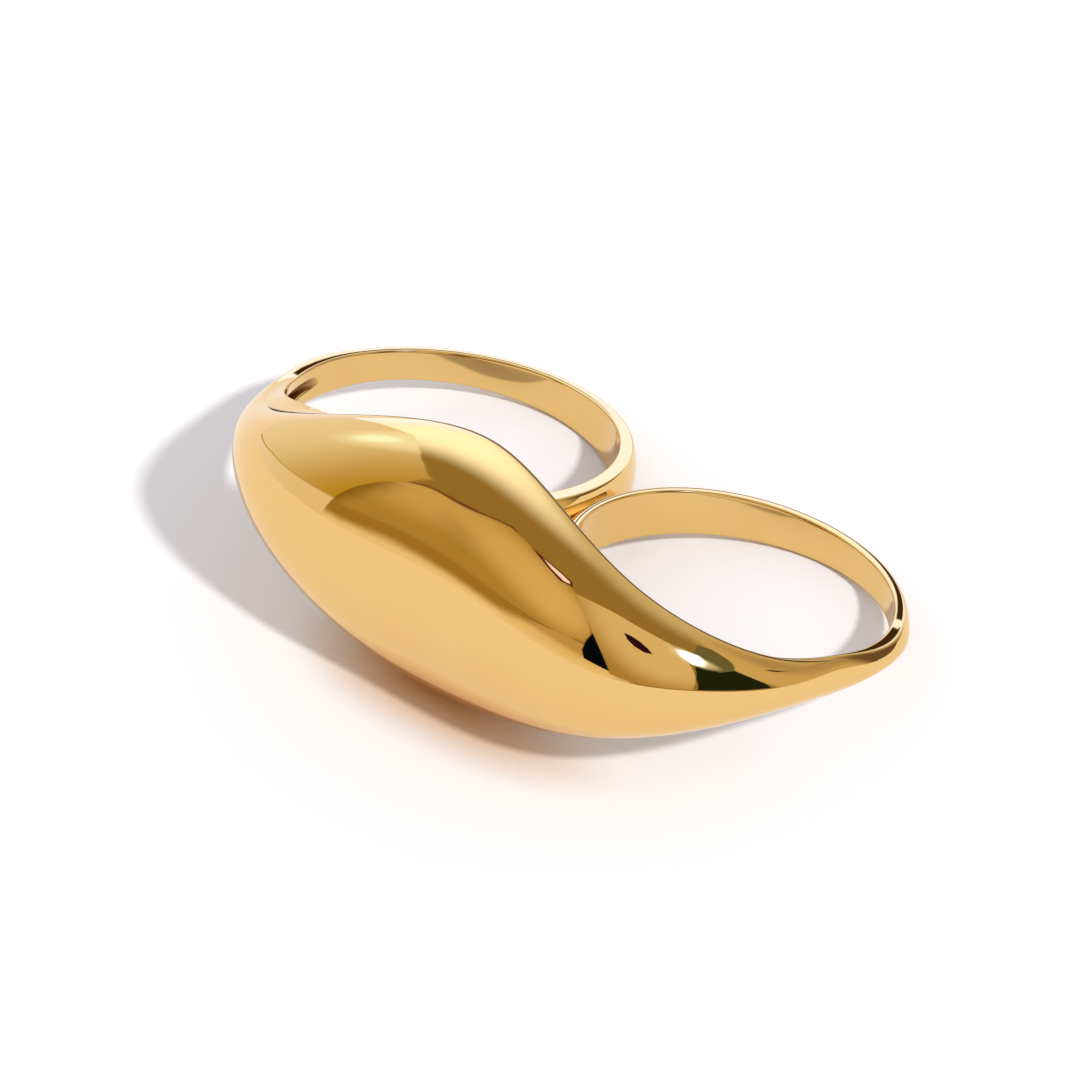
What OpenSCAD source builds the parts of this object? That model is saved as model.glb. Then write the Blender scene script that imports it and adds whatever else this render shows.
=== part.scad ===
// Double ring: two finger bands joined side by side, with one hollow dome that sweeps across both.
// The ring's own frame has the middle plane of the bands at z = 0, the two finger bores along z,
// the larger band at -x, the smaller one at +x and the dome towards -y.
// The finished ring is tipped so that it rests as it does on a table, on the dome and the bands' backs,
// and it is moved so that the origin is under the middle of it on the table.

/* [Fingers] */
// Inside diameter of the larger band
large_bore_d = 17.3; // [16.6:0.1:17.6]
// Inside diameter of the smaller band
small_bore_d = 15.7; // [15.0:0.1:16.0]
// Distance between the two finger axes
bore_spacing = 18.35; // [18.2:0.05:18.6]

/* [Larger band] */
// Width along the finger where it meets the smaller band
large_contact_w = 3.2; // [2.8:0.1:3.6]
// Width at the far left end, where it runs into the dome
large_end_w = 1.9; // [1.6:0.05:1.95]
// Width at the back
large_back_w = 2.2; // [1.8:0.1:2.6]
// Wall at the contact, at mid height
large_contact_t = 1.29; // [1.2:0.01:1.5]
// Wall at the far left end, at mid height
large_end_t = 0.85; // [0.75:0.01:0.86]
// How far the outer wall is shifted towards the dome, which thins the back
large_shift = 0.28; // [0:0.01:0.3]
// Radius of the rounded outer face across its width
large_crown_r = 3.1; // [2:0.1:6]

/* [Smaller band] */
// Width along the finger where it meets the larger band
small_contact_w = 2.7; // [2.4:0.1:3.0]
// Width at the far right end, where the dome's tail runs into it
small_end_w = 1.4; // [1.2:0.05:1.42]
// Width at the back
small_back_w = 1.95; // [1.6:0.05:2.4]
// Rise of the band's middle at the far right end
small_end_rise = 0.25; // [0.2:0.01:0.26]
// Wall at the contact, at mid height
small_contact_t = 1.07; // [1.0:0.01:1.3]
// Wall at the far right end, at mid height
small_end_t = 0.63; // [0.55:0.01:0.65]
// Radius of the rounded outer face across its width
small_crown_r = 1.7; // [1.5:0.1:5]

/* [Hollow] */
// Metal left in front of the hollow
hollow_wall = 0.9; // [0.8:0.1:1.3]
// Least metal left between the hollow and the edge of the finger bore
hollow_rim = 0.65; // [0.6:0.05:0.8]
// Depth of the open notch behind the dome where the two bands part
notch_y = 4.2; // [3.6:0.1:5]

/* [Rest] */
// Tip of the ring about x as it rests, dome raised
rest_tip = 18.36; // [0:0.01:25]
// Roll of the ring about its own y axis as it rests
rest_roll = 1.32; // [-3:0.01:3]
// Shift along x that puts the origin under the middle
rest_x = 0.53; // [-2:0.01:2]
// Shift along y that puts the origin under the middle
rest_y = 1.88; // [-4:0.01:4]
// Height of the untipped middle over the table
rest_z = 3.8; // [0:0.01:10]

/* [Hidden] */
$fn = 96;
gold = "#e0b258";
large_r = large_bore_d / 2;
small_r = small_bore_d / 2;
half_spacing = bore_spacing / 2;
// Directions in which the dome starts, turns from one finger to the other, and ends
left_end = 180;
middle = 270;
right_end = 360;
// Angle between two sections of the dome, and facets over the front of each
station_step = 3;
front_steps = 20;
// How far the dome's back runs into the bore before the bore is cut
inward = 0.8;
// Small steps that keep the rim's corner just inside the bore and the mouth's corner just outside it
rim_step = 0.05;
mouth_step = 0.1;
// Half of the angle over which the notch reaches, and the height of its lip
notch_reach = 17;
notch_lip = 0.3;
// Angles between which each hollow lies, and the angle over which its ends close
large_hollow = [186, 261];
small_hollow = [283, 330];
hollow_closing = 14;
hollow_steps = 10;
// Metal left above and below the hollow
hollow_side = 1.25 * hollow_wall;
// Part of the rim's inner height that the hollow's mouth takes
mouth_part = 0.9;
// Least step from the crease in to the hollow's widest place
shoulder_step = 0.2;
// Part of the rim's height over which a closed hollow's outline lies flat
flat_part = 0.3;
// Depth of a band's section, and the start and sweep of each band about its bore
band_depth = 1.9;
large_start = -36;
large_sweep = 221;
small_start = -4;
small_sweep = 219;
// Length that is more than any cut needs
tall = 30;

// One row for each section of the dome. A section stands upright on a line that leaves the bands'
// common centre line at the angle given, and a smooth curve leans towards the values of the rows.
// angle:  direction of the section, 180 at the left end, 270 in the middle, 360 at the right end
// crease: distance of the sharp upper edge from the centre line
// bulge:  how far the front swells beyond that edge
// half:   half of the height between the upper and the lower edge
// mid:    height of the section's middle
// round:  1 gives a parabola across the front, 2 half an ellipse
// edge:   height of the edge at the finger bore
ANGLE = 0;
CREASE = 1;
BULGE = 2;
HALF = 3;
MID = 4;
ROUND = 5;
EDGE = 6;
sections = [
    // angle, crease, bulge, half, mid, round, edge
    [165,  9.40, 0.30, 0.80, 0.00, 1.0, 0.95],
    [180,  9.25, 0.20, 1.10, 0.00, 1.0, 1.00],
    [195,  9.70, 0.30, 0.95, 0.00, 1.1, 1.00],
    [210, 10.65, 0.75, 0.75, 0.00, 1.3, 1.20],
    [225, 11.40, 1.70, 1.70, 0.00, 1.6, 2.60],
    [240, 11.25, 3.05, 3.95, 0.00, 2.0, 4.10],
    [255,  9.70, 4.05, 6.30, 0.00, 2.0, 3.90],
    [270,  8.20, 4.30, 7.20, 0.00, 2.0, 0.60],
    [285,  9.60, 3.85, 6.15, 0.00, 2.0, 2.40],
    [300, 11.05, 2.90, 3.85, 0.00, 2.0, 2.50],
    [315, 10.25, 1.80, 2.15, 0.00, 1.7, 1.50],
    [330,  9.05, 0.95, 1.15, 0.05, 1.4, 1.30],
    [345,  8.10, 0.40, 1.15, 0.15, 1.2, 1.20],
    [360,  8.30, 0.20, 0.65, 0.25, 1.0, 1.00],
    [375,  8.55, 0.15, 0.65, 0.30, 1.0, 0.95],
];
row_step = sections[1][ANGLE] - sections[0][ANGLE];

// Value of a column at any angle, on a smooth curve through the rows' neighbourhood
function curve_value(column, angle) =
    let (place = (angle - sections[0][ANGLE]) / row_step,
         row = min(max(floor(place), 1), len(sections) - 3),
         t = place - row)
    (pow(1 - t, 3) * sections[row - 1][column]
        + (3 * pow(t, 3) - 6 * t * t + 4) * sections[row][column]
        + (-3 * pow(t, 3) + 3 * t * t + 3 * t + 1) * sections[row + 1][column]
        + pow(t, 3) * sections[row + 2][column]) / 6;

// Distance from the centre line to the finger bore's wall along a section's line
function bore_distance(angle) =
    let (large = angle < middle,
         bore_x = large ? -half_spacing : half_spacing,
         bore_r = large ? large_r : small_r,
         offset_x = half_spacing * cos(angle) - bore_x,
         along = offset_x * cos(angle))
    -along + sqrt(max(along * along - offset_x * offset_x + bore_r * bore_r, 0));

// A section's point, from its distance along the section's line and its height
function placed(angle, distance, z) =
    [(half_spacing + distance) * cos(angle), distance * sin(angle), z];

// Front of the dome at a part of its height, from -1 at the lower edge to 1 at the upper edge
function front_distance(angle, part) =
    curve_value(CREASE, angle)
        + curve_value(BULGE, angle) * pow(max(1 - part * part, 0), 1 / curve_value(ROUND, angle));

// Part of full depth that a hollow has at an angle, rounded off at both of its ends
function hollow_opening(angle, reach) =
    let (near_end = min(angle - reach[0], reach[1] - angle) / hollow_closing,
         rest = 1 - min(max(near_end, 0), 1))
    sqrt(1 - rest * rest);

// Outline of the hollow's section from bottom to top, which opens into the bore and follows the front.
// Where there is no hollow, it lies flat inside the bore or on the back of the notch.
function hollow_outline(angle, wall, back) =
    let (opening = max(hollow_opening(angle, large_hollow), hollow_opening(angle, small_hollow)),
         mid = curve_value(MID, angle),
         edge = curve_value(EDGE, angle) - mid,
         mouth = (edge - hollow_rim) * mouth_part,
         inner = max(curve_value(HALF, angle) - hollow_side, mouth / 2),
         front = curve_value(CREASE, angle) + curve_value(BULGE, angle) - hollow_wall,
         shoulder = min(curve_value(CREASE, angle) - shoulder_step, (wall + front) / 2),
         round_part = [for (i = [0:hollow_steps])
             let (turn = 180 * i / hollow_steps)
             [shoulder + (front - shoulder) * sin(turn), -inner * cos(turn)]],
         open_outline = concat([[back, -mouth], [wall + mouth_step, -mouth]], round_part,
                               [[wall + mouth_step, mouth], [back, mouth]]),
         last = len(open_outline) - 1)
    [for (i = [0:last])
        let (flat = [back, -edge * flat_part * cos(180 * i / last)],
             point = flat + opening * (open_outline[i] - flat))
        placed(angle, point[0], mid + point[1])];

// Closed outline of the dome's section: up the rim to the crease, down the front, and round the hollow
function dome_section(angle) =
    let (half = curve_value(HALF, angle),
         mid = curve_value(MID, angle),
         edge = curve_value(EDGE, angle),
         notch = abs(angle - middle) < notch_reach ? notch_y / abs(sin(angle)) : 0,
         back = max(bore_distance(angle) - inward, notch),
         wall = max(bore_distance(angle), notch + notch_lip),
         rim = wall - rim_step)
    concat(
        [placed(angle, back, edge), placed(angle, rim, edge)],
        [for (i = [0:front_steps])
            let (part = cos(180 * i / front_steps))
            placed(angle, front_distance(angle, part), mid + half * part)],
        [placed(angle, rim, 2 * mid - edge), placed(angle, back, 2 * mid - edge)],
        hollow_outline(angle, wall, back));

// Solid skinned over a row of closed outlines with equal numbers of points
// The end faces are fans from the point with the index tip.
module skin(rings, tip) {
    count = len(rings[0]);
    last = len(rings) - 1;
    polyhedron(
        points = [for (ring = rings) each ring],
        faces = concat(
            [for (i = [1:count - 2]) [tip, (tip + i) % count, (tip + i + 1) % count]],
            [for (k = [0:last - 1], i = [0:count - 1])
                let (j = (i + 1) % count)
                [k * count + i, (k + 1) * count + j, k * count + j]],
            [for (k = [0:last - 1], i = [0:count - 1])
                let (j = (i + 1) % count)
                [k * count + i, (k + 1) * count + i, (k + 1) * count + j]],
            [for (i = [1:count - 2])
                [last * count + tip, last * count + (tip + i + 1) % count, last * count + (tip + i) % count]]),
        convexity = 6);
}

// Space above a tilted plane, whose height is given at the origin with its slopes along x and y
module space_above(height, slope_x, slope_y) {
    turn_y = -atan(slope_x);
    translate([0, 0, height])
        rotate([atan(slope_y * cos(turn_y)), turn_y, 0])
            translate([-tall, -tall, 0])
                cube([2 * tall, 2 * tall, tall]);
}

// Band with a rounded outer face about an eccentric circle, cut to its width by two tilted planes.
// The bore is at the origin here, the faces' heights are given as [mean, along x, along y] at the bore's wall.
module band(bore_r, outer_x, outer_y, outer_r, crown_r, top, bottom, start, sweep) {
    difference() {
        translate([outer_x, outer_y, 0])
            rotate([0, 0, start])
                rotate_extrude(angle = sweep)
                    intersection() {
                        translate([outer_r - crown_r, 0])
                            circle(r = crown_r);
                        translate([outer_r - band_depth, -crown_r])
                            square([band_depth + crown_r, 2 * crown_r]);
                    }
        space_above(top[0], top[1] / bore_r, top[2] / bore_r);
        mirror([0, 0, 1])
            space_above(bottom[0], bottom[1] / bore_r, bottom[2] / bore_r);
    }
}

// Larger band, from inside the dome's left end round the back to the web between the bores
module large_band() {
    mean = (large_contact_w + large_end_w) / 4;
    face = [mean, (large_contact_w - large_end_w) / 4, large_back_w / 2 - mean];
    outer_x = (large_contact_t - large_end_t) / 2;
    outer_r = large_r + (large_contact_t + large_end_t) / 2;
    translate([-half_spacing, 0, 0])
        band(large_r, outer_x, -large_shift, outer_r, large_crown_r, face, face, large_start, large_sweep);
}

// Smaller band, from inside the dome's tail round the back to the web between the bores
module small_band() {
    top_end = small_end_rise + small_end_w / 2;
    bottom_end = small_end_w / 2 - small_end_rise;
    top_mean = (small_contact_w / 2 + top_end) / 2;
    bottom_mean = (small_contact_w / 2 + bottom_end) / 2;
    top = [top_mean, top_end - top_mean, small_back_w / 2 - top_mean];
    bottom = [bottom_mean, bottom_end - bottom_mean, small_back_w / 2 - bottom_mean];
    outer_x = (small_end_t - small_contact_t) / 2;
    outer_r = small_r + (small_contact_t + small_end_t) / 2;
    translate([half_spacing, 0, 0])
        band(small_r, outer_x, 0, outer_r, small_crown_r, top, bottom, small_start, small_sweep);
}

// Dome with its hollows and the open notch behind its middle
module dome() {
    skin([for (angle = [left_end:station_step:right_end]) dome_section(angle)], 2 + front_steps / 2);
}

// Holes for both fingers
module finger_bores() {
    translate([-half_spacing, 0, -tall / 2])
        cylinder(h = tall, r = large_r);
    translate([half_spacing, 0, -tall / 2])
        cylinder(h = tall, r = small_r);
}

// The whole ring, tipped as it rests
module double_ring() {
    color(gold)
        translate([rest_x, rest_y, rest_z])
            rotate([-rest_tip, 0, 0])
                rotate([0, rest_roll, 0]) {
                    difference() {
                        dome();
                        finger_bores();
                    }
                    difference() {
                        union() {
                            large_band();
                            small_band();
                        }
                        finger_bores();
                    }
                }
}

double_ring();
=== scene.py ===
"""Looks of the double ring: one polished, gold-plated skin on a white table in a small studio.

Lengths are in millimetres in the ring's own frame, where the finger bores run along z, the larger
band is at -x and the dome towards -y. The finished skin is tipped as the ring rests, and only then
scaled to metres. Directions of the studio are given as seen from the ring: azimuth in degrees from
+x towards +y, and the angle down from straight overhead.
"""

from __future__ import annotations

import logging
import math
from dataclasses import dataclass, field
from enum import Enum

import bpy
import numpy as np
from mathutils import Matrix, Vector

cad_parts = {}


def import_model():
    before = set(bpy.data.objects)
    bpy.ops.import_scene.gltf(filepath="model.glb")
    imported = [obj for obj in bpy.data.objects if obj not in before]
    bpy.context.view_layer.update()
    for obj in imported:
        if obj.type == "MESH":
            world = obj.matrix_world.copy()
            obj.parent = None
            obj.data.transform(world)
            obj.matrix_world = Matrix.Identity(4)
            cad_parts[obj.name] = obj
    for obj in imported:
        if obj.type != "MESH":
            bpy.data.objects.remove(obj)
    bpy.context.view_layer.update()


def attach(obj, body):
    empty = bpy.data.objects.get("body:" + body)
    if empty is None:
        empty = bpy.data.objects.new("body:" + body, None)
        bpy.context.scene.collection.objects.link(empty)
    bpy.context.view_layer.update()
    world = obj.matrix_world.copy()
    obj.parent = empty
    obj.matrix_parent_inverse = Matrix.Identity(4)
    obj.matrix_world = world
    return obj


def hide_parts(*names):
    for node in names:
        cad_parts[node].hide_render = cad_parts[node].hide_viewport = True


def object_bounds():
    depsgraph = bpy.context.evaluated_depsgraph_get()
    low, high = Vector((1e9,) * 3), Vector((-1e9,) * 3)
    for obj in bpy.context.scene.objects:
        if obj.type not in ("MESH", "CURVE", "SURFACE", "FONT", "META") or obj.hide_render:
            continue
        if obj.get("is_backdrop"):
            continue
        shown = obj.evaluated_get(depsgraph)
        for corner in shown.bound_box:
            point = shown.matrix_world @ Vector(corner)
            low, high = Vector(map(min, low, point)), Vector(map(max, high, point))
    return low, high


LOG = logging.getLogger("double_ring")
MM = 0.001
# colour of the plating where it faces the eye
GOLD = "#EBC47E"
# attribute that carries the painted dark line along edges and how deep inside the hollow each point
# lies, for the painted shade there
SHADE = "shade"
# half the distance between the axes of the two fingers
HALF_SPACING = 9.175
LARGE_BORE_R = 8.65
SMALL_BORE_R = 7.85
# points along the lower wall, hollow, upper wall, upper face, front and lower face of a section
RUN_POINTS = (5, 33, 5, 13, 65, 9)
# places of three of them in that order
HOLLOW, UPPER_FACE, FRONT = 1, 3, 4
# how the painted dark line rises and falls over the points of a rounded corner
CORNER_DARK = (0.1, 0.6, 1.0, 0.6, 0.1)
# how dark the painted lines on the rounded corners underneath are
UNDER_LINE = 0.3
# length over which the border of a painted dark line fades
LINE_BLUR = 0.05
# largest share of a run that the rounding of a corner may take
MOST_CUT = 0.35
# points on the fine curves that a section's points are then taken from
FRONT_STEPS = 721
HOLLOW_STEPS = 49
CHEEK_STEPS = 11


def linear(hex_colour: str) -> tuple[float, float, float, float]:
    """Turns an sRGB colour to the linear colour that shaders take.

    Args:
        hex_colour: Six hex digits with a leading hash.

    Returns:
        Red, green, blue and an alpha of one.
    """
    parts = [int(hex_colour[i:i + 2], 16) / 255 for i in (1, 3, 5)]
    red, green, blue = (p / 12.92 if p <= 0.04045 else ((p + 0.055) / 1.055) ** 2.4 for p in parts)
    return red, green, blue, 1.0


def add_node(tree: bpy.types.NodeTree, kind: str, settings: dict | None = None,
             inputs: dict | None = None) -> bpy.types.Node:
    """Adds a node to a tree with its settings, and links or sets its inputs.

    Args:
        tree: Node tree that takes the node.
        kind: Blender's name of the node type.
        settings: Properties of the node by name.
        inputs: Output sockets to link, and plain values to set, by the input's name or number.

    Returns:
        The new node.
    """
    node = tree.nodes.new(kind)
    for name, value in (settings or {}).items():
        setattr(node, name, value)
    for name, value in (inputs or {}).items():
        if isinstance(value, bpy.types.NodeSocket):
            tree.links.new(value, node.inputs[name])
        else:
            node.inputs[name].default_value = value
    return node


def fade(part: float) -> float:
    """Smooth step from 0 to 1 as part goes from 0 to 1."""
    part = min(max(part, 0.0), 1.0)
    return part * part * (3 - 2 * part)


def lit(seen: str, level: float = 1.0) -> tuple[float, float, float, float]:
    """Turns the colour that a thing shows in the gold to the light that it must send there.

    Args:
        seen: Colour of the thing as it looks mirrored in the plating.
        level: Factor for a thing that is brighter than the picture can show.

    Returns:
        Linear light of the thing, and an alpha of one.
    """
    light = [level * s / g for s, g in zip(linear(seen)[:3], linear(GOLD)[:3])]
    return light[0], light[1], light[2], 1.0


@dataclass
class Pocket:
    """Part of a section that opens into the finger bore, or lies flat on it without a hollow.

    Mouth and inner are half heights at the bore and deep inside. Shoulder and front are the
    distances where the hollow's round part begins and ends.
    """

    mouth: float
    shoulder: float
    front: float
    inner: float = 0.0
    opening: float = 0.0


@dataclass
class Section:
    """One upright section of the skin, on a line that leaves the bands' middle line at an angle.

    Distances are along that line and heights are over the bands' middle plane. From the bore
    outwards come the wall, the rim, the crease and the bulging front. Lines are how dark the
    painted line on a rounded corner is, and the values that begin with dark are widths of painted
    dark bands beside upper corners; both stand for the unlit room mirrored in the edges.
    """

    start_x: float
    angle: float
    wall: float
    rim: float
    crease: float
    bulge: float
    power: float
    upper: float
    lower: float
    rim_upper: float
    rim_lower: float
    crease_round: float
    lip_round: float
    dark_rim: float
    dark_crease: float
    pocket: Pocket
    dark_front: float = 0.0
    rim_line: float = 0.5
    crease_line: float = 0.0
    rim_round: float = 0.14
    shrink: float = 1.0

    def runs(self) -> list[np.ndarray]:
        """Dense runs of points between the section's corners, in order round it.

        Returns:
            Six arrays of distances and heights: lower wall, hollow, upper wall, upper face, front
            and lower face.
        """
        middle = (self.rim_upper + self.rim_lower) / 2
        low, high = middle - self.pocket.mouth, middle + self.pocket.mouth
        lower_edge, upper_edge = [self.wall, self.rim_lower], [self.wall, self.rim_upper]
        part = np.cos(np.linspace(0, math.pi, FRONT_STEPS))
        centre, half = (self.upper + self.lower) / 2, (self.upper - self.lower) / 2
        front = self.crease + self.bulge * np.maximum(1 - part ** 2, 0) ** (1 / self.power)
        return [
            np.array([lower_edge, [self.wall, low]]),
            self.pocket_run(middle),
            np.array([[self.wall, high], upper_edge]),
            np.array([upper_edge, [self.rim, self.rim_upper], [self.crease, self.upper]]),
            np.stack([front, centre + half * part], -1),
            np.array([[self.crease, self.lower], [self.rim, self.rim_lower], lower_edge]),
        ]

    def pocket_run(self, middle: float) -> np.ndarray:
        """Points of the hollow from its lower lip to its upper lip.

        Args:
            middle: Height of the hollow's middle.

        Returns:
            Array of distances and heights.
        """
        p = self.pocket
        turn = np.linspace(0, math.pi, HOLLOW_STEPS)
        part = np.linspace(0, 1, CHEEK_STEPS, endpoint=False)
        lower_cheek = np.stack([self.wall + (p.shoulder - self.wall) * part,
                                -p.mouth + (p.mouth - p.inner) * part], -1)
        round_part = np.stack([p.shoulder + (p.front - p.shoulder) * np.sin(turn),
                               -p.inner * np.cos(turn)], -1)
        deep = np.concatenate([lower_cheek, round_part, lower_cheek[::-1] * [1, -1]])
        flat = np.stack([np.full(len(deep), self.wall),
                         -p.mouth * np.cos(np.linspace(0, math.pi, len(deep)))], -1)
        return flat + p.opening * (deep - flat) + [0, middle]

    def outline(self) -> tuple[np.ndarray, np.ndarray]:
        """Closed outline of the section with its corners rounded, in the ring's frame.

        Returns:
            Array of points, the same number for every section, and for each point how dark
            the painted edge line is there, how far it lies inside the hollow with its painted
            shade, and a zero.
        """
        lip, rim, crease = self.lip_round, self.rim_round, self.crease_round
        start_cuts = (rim, lip, lip, rim, crease, crease)
        end_cuts = start_cuts[1:] + start_cuts[:1]
        # how dark the painted line is on the corner at the end of each run, which stands for
        # the unlit room mirrored there
        lines = (0, 0, self.rim_line, self.crease_line, UNDER_LINE, UNDER_LINE)
        runs = self.runs()
        cut = [trimmed(*given) for given in zip(runs, start_cuts, end_cuts, RUN_POINTS)]
        t = (np.arange(1, len(CORNER_DARK) + 1) / (len(CORNER_DARK) + 1))[:, None]
        points, shades = [], []
        for i, (run, after) in enumerate(zip(cut, cut[1:] + cut[:1])):
            corner = runs[i][-1]
            points += [run, (1 - t) ** 2 * run[-1] + 2 * t * (1 - t) * corner + t * t * after[0]]
            # share of the painted shade inside the hollow, for points of the hollow's run
            inside = self.pocket.opening if i == HOLLOW else 0.0
            for dark in (self.darkness(i, run), np.array(CORNER_DARK) * lines[i]):
                shades.append(np.stack([dark, np.full(len(dark), inside), np.zeros(len(dark))], -1))
        flat = np.concatenate(points)
        centre = np.array([self.wall + self.crease + self.bulge, self.upper + self.lower]) / 2
        distance, z = (centre + (flat - centre) * self.shrink).T
        angle = math.radians(self.angle)
        x, y = self.start_x + distance * math.cos(angle), distance * math.sin(angle)
        return np.stack([x, y, z], -1), np.concatenate(shades)

    def darkness(self, number: int, run: np.ndarray) -> np.ndarray:
        """How dark the points of a run are, beside edges whose rounding mirrors the unlit room.

        Args:
            number: Place of the run in the section.
            run: Points of the run.

        Returns:
            Array with a value from 0 to 1 for each point.
        """
        from_start, from_end = (np.linalg.norm(run - end, axis=1) for end in (run[0], run[-1]))
        reaches = {UPPER_FACE: ((self.dark_rim, from_start), (self.dark_crease, from_end)),
                   FRONT: ((self.dark_front, from_start),)}.get(number, ())
        dark = np.zeros(len(run))
        for reach, away in reaches:
            if reach > 0:
                dark = np.maximum(dark, np.clip((reach - away) / LINE_BLUR + 0.5, 0, 1))
        return dark


def trimmed(run: np.ndarray, start_cut: float, end_cut: float, count: int) -> np.ndarray:
    """Cuts a run at both ends and spaces points along it, closer together towards its ends.

    Args:
        run: Points of the run.
        start_cut: Length to leave off at the start.
        end_cut: Length to leave off at the end.
        count: Number of points wanted.

    Returns:
        Array of count points.
    """
    along = np.concatenate([[0], np.cumsum(np.linalg.norm(np.diff(run, axis=0), axis=1))])
    total = along[-1]
    first, last = min(start_cut, MOST_CUT * total), total - min(end_cut, MOST_CUT * total)
    wanted = first + (last - first) * (1 - np.cos(np.linspace(0, math.pi, count))) / 2
    return np.stack([np.interp(wanted, along, run[:, k]) for k in (0, 1)], -1)


@dataclass
class Dome:
    """Hollow dome that sweeps across both fingers, from the larger band's end to the smaller's.

    Its sections' angles run from 180 degrees at the left end, over 270 between the bands, to 360
    at the right end.
    """

    left_end: float = 180.0
    middle: float = 270.0
    right_end: float = 360.0
    section_step: float = 0.75
    notch_y: float = 4.2
    notch_lip: float = 0.3
    notch_reach: float = 17.0
    hollow_wall: float = 0.9
    hollow_rim: float = 0.65
    hollow_closing: float = 14.0
    hollow_tip: float = 5.0
    mouth_share: float = 0.9
    shoulder_inset: float = 0.2
    cheek_walls: float = 1.25
    # half height of the strip on the bore's wall that takes the mouth's points where no hollow is,
    # at a hollow's end and away from it, and the degrees over which it grows
    idle_mouth: tuple[float, float] = (0.04, 0.34)
    idle_spread: float = 6.0
    hollows: tuple[tuple[float, float], ...] = ((186.0, 261.0), (283.0, 330.0))
    # more sections are laid at these angles inside each end of a hollow
    lip_steps: tuple[float, ...] = (0.0, 0.03, 0.12, 0.3, 0.52)
    # pairs of angles with a kink between them, the one on the bore's side first
    kink_search: tuple[tuple[float, float], ...] = ((255.0, 270.0), (285.0, 270.001))
    # degrees from a kink at which each side gets a section, and within which others are left out
    kink_width: float = 0.06
    kink_clear: float = 0.3
    # the upper crease is sharp between these angles, and turns soft over the last number of degrees
    sharp: tuple[float, float, float] = (186.0, 345.0, 20.0)
    # angle where each begins and the degrees over which it comes in: round tail, and the crease's
    # painted dark line, which stands for the unlit room mirrored there
    tail: tuple[float, float] = (326.0, 22.0)
    line: tuple[float, float] = (222.0, 7.0)
    # angle where the painted dark line is widest, and how far it spreads from there
    widest: tuple[float, float] = (233.0, 7.0)
    line_widths: tuple[float, float] = (0.09, 0.25)
    # rounding of the upper crease where it is soft, sharp and part of the tail
    crease_rounds: tuple[float, float, float] = (0.13, 0.07, 0.23)
    # rounding of the mouth's lips where no hollow is, and where it is fully open
    lip_rounds: tuple[float, float] = (0.015, 0.125)
    # painted dark wedges on the upper face at both ends, where it mirrors the unlit room, as angles
    # and the widths there
    rim_wedge: tuple[tuple[float, ...], ...] = (
        (180, 186, 192, 197, 198.5), (0.14, 0.2, 0.3, 0.38, 0))
    tail_wedge: tuple[tuple[float, ...], ...] = (
        (322, 335, 345, 352, 360), (0, 0.1, 0.14, 0.26, 0.36))
    first_angle: float = 165.0
    row_step: float = 15.0
    # crease, bulge, half height, middle height, power of the front's curve, inner edge's height
    rows: tuple[tuple[float, ...], ...] = (
        (9.40, 0.30, 0.80, 0.00, 1.0, 0.95),
        (9.25, 0.20, 1.10, 0.00, 1.0, 1.00),
        (9.70, 0.30, 0.95, 0.00, 1.1, 1.00),
        (10.65, 0.75, 0.75, 0.00, 1.3, 1.20),
        (11.384, 1.647, 1.696, 0.00, 1.575, 2.60),
        (11.269, 3.083, 3.953, 0.00, 2.066, 4.10),
        (9.673, 4.011, 6.291, 0.00, 1.950, 3.90),
        (8.240, 4.298, 7.231, 0.00, 2.107, 0.60),
        (9.462, 3.857, 6.049, 0.00, 1.731, 2.40),
        (11.05, 2.90, 3.85, 0.00, 2.0, 2.50),
        (10.25, 1.80, 2.15, 0.00, 1.7, 1.50),
        (9.05, 0.95, 1.15, 0.05, 1.4, 1.30),
        (8.10, 0.46, 1.15, 0.15, 1.2, 1.20),
        (8.30, 0.44, 0.65, 0.25, 1.0, 1.00),
        (8.55, 0.50, 0.65, 0.30, 1.0, 0.95),
    )

    def values(self, angle: float) -> np.ndarray:
        """Row values at any angle, on a smooth curve that leans towards the rows.

        Args:
            angle: Direction of the section in degrees.

        Returns:
            The six values of a row.
        """
        rows = np.array(self.rows)
        place = (angle - self.first_angle) / self.row_step
        row = min(max(int(math.floor(place)), 1), len(rows) - 3)
        t = place - row
        weights = [(1 - t) ** 3, 3 * t ** 3 - 6 * t * t + 4,
                   -3 * t ** 3 + 3 * t * t + 3 * t + 1, t ** 3]
        return sum(w * rows[row - 1 + k] for k, w in enumerate(weights)) / 6

    def bore_distance(self, angle: float) -> float:
        """Distance from the bands' middle line to the finger bore's wall.

        Args:
            angle: Direction of the section in degrees.

        Returns:
            Distance along the section's line.
        """
        large = angle < self.middle
        bore_x, bore_r = (-HALF_SPACING, LARGE_BORE_R) if large else (HALF_SPACING, SMALL_BORE_R)
        offset = HALF_SPACING * math.cos(math.radians(angle)) - bore_x
        along = offset * math.cos(math.radians(angle))
        return -along + math.sqrt(max(along * along - offset * offset + bore_r * bore_r, 0))

    def notch(self, angle: float) -> float:
        """Distance to the flat back of the notch between the bands, or 0 away from it."""
        near = abs(angle - self.middle) < self.notch_reach
        return self.notch_y / abs(math.sin(math.radians(angle))) if near else 0.0

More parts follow.
